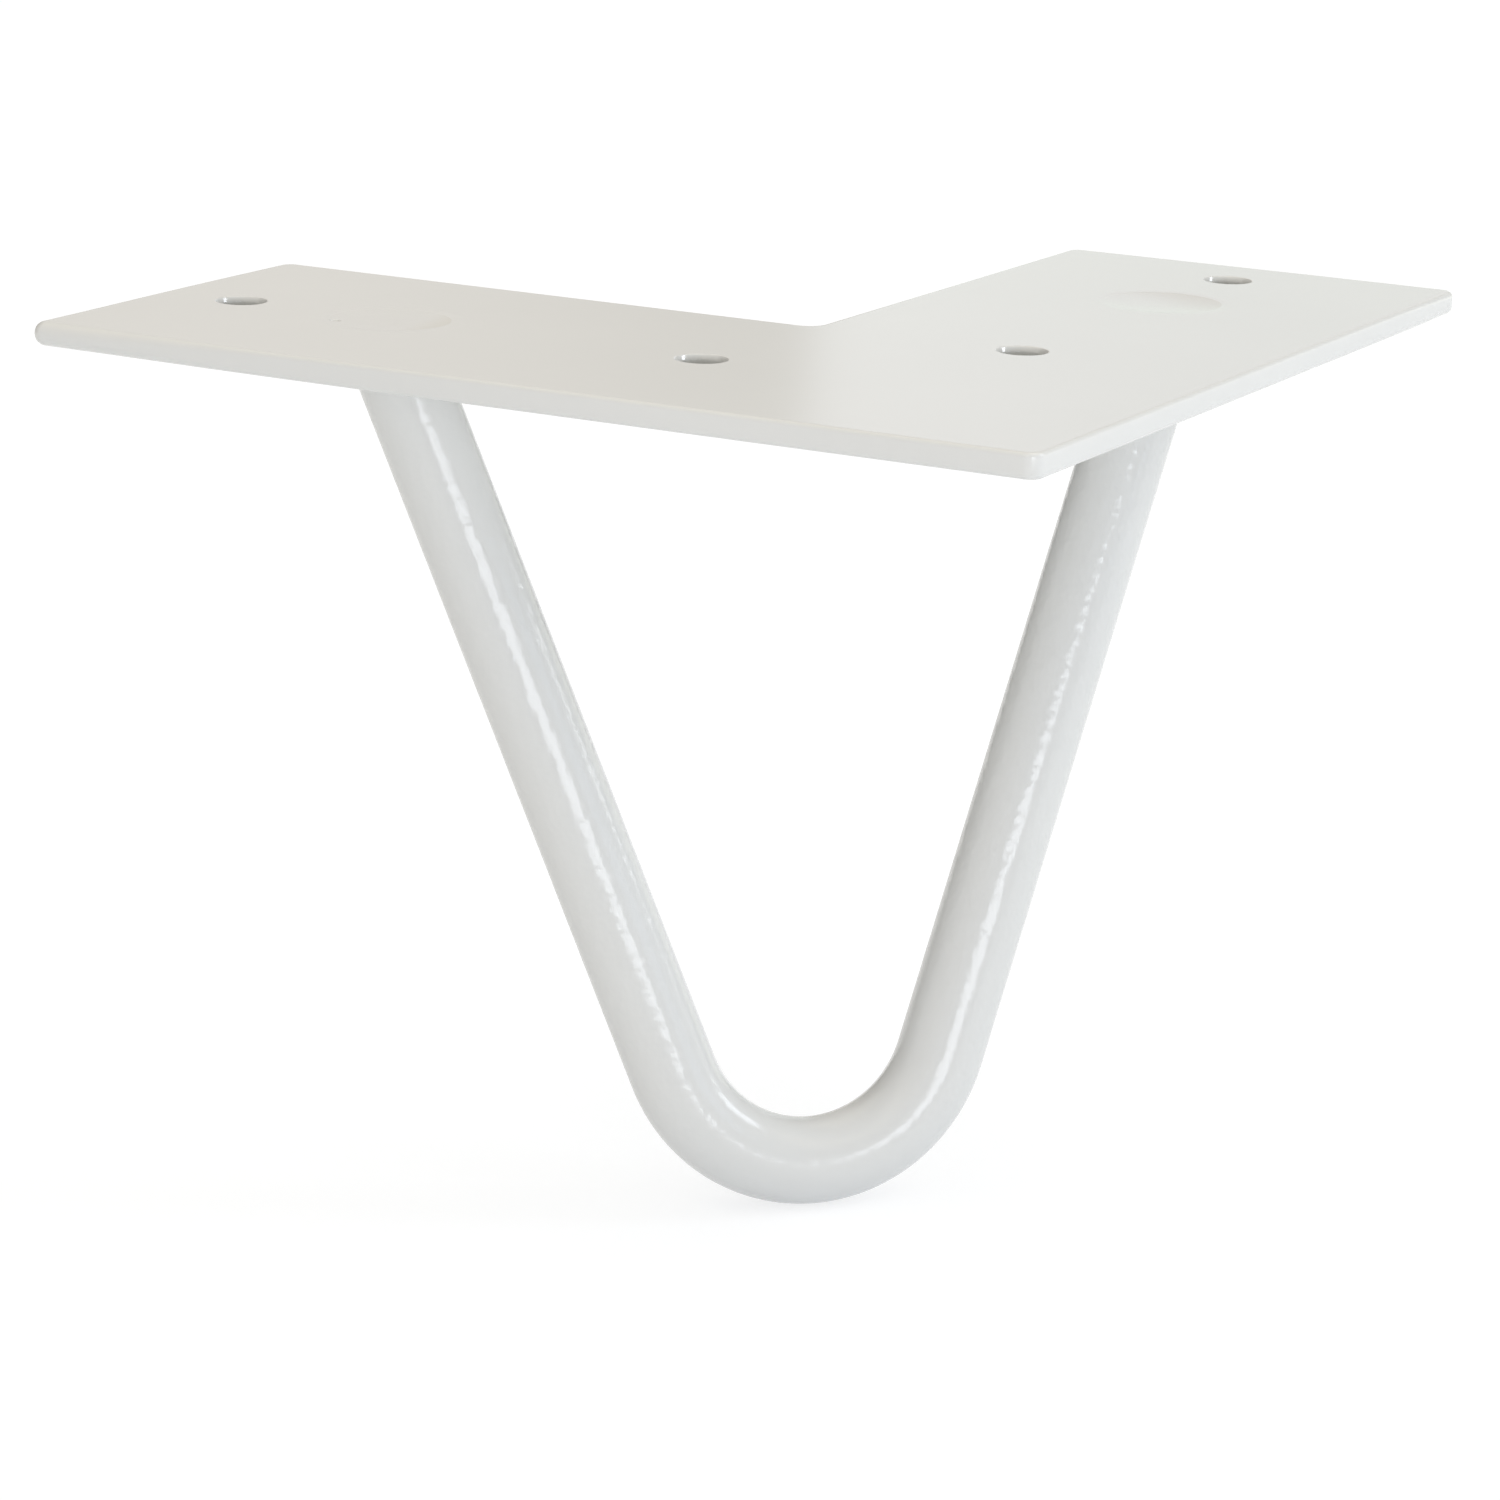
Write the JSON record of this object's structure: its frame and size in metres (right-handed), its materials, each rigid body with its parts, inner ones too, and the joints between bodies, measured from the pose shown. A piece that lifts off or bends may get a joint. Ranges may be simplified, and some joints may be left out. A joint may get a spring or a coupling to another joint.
{
  "type": "hairpin table leg",
  "caption": "Low hairpin table leg: a round rod bent into a leaning V, plug-welded to an L-shaped screw plate that fixes under the corner of a table top.",
  "frame": {"origin": "on the mounting face of the plate, where the centre lines of its two arms cross", "axes": "+Z is the outward normal of the mounting face, up into the table top; the arms of the plate run along +X and +Y"},
  "size_m": [0.12, 0.12, 0.1],
  "materials": {
    "powder_coat": "white semi-gloss powder coat with a fine orange-peel surface, on steel"
  },
  "bodies": {
    "root": {"mounting_plate": "powder_coat", "hairpin_rod": "powder_coat", "x_arm_plug_weld": "powder_coat", "y_arm_plug_weld": "powder_coat"}
  },
  "joints": []
}
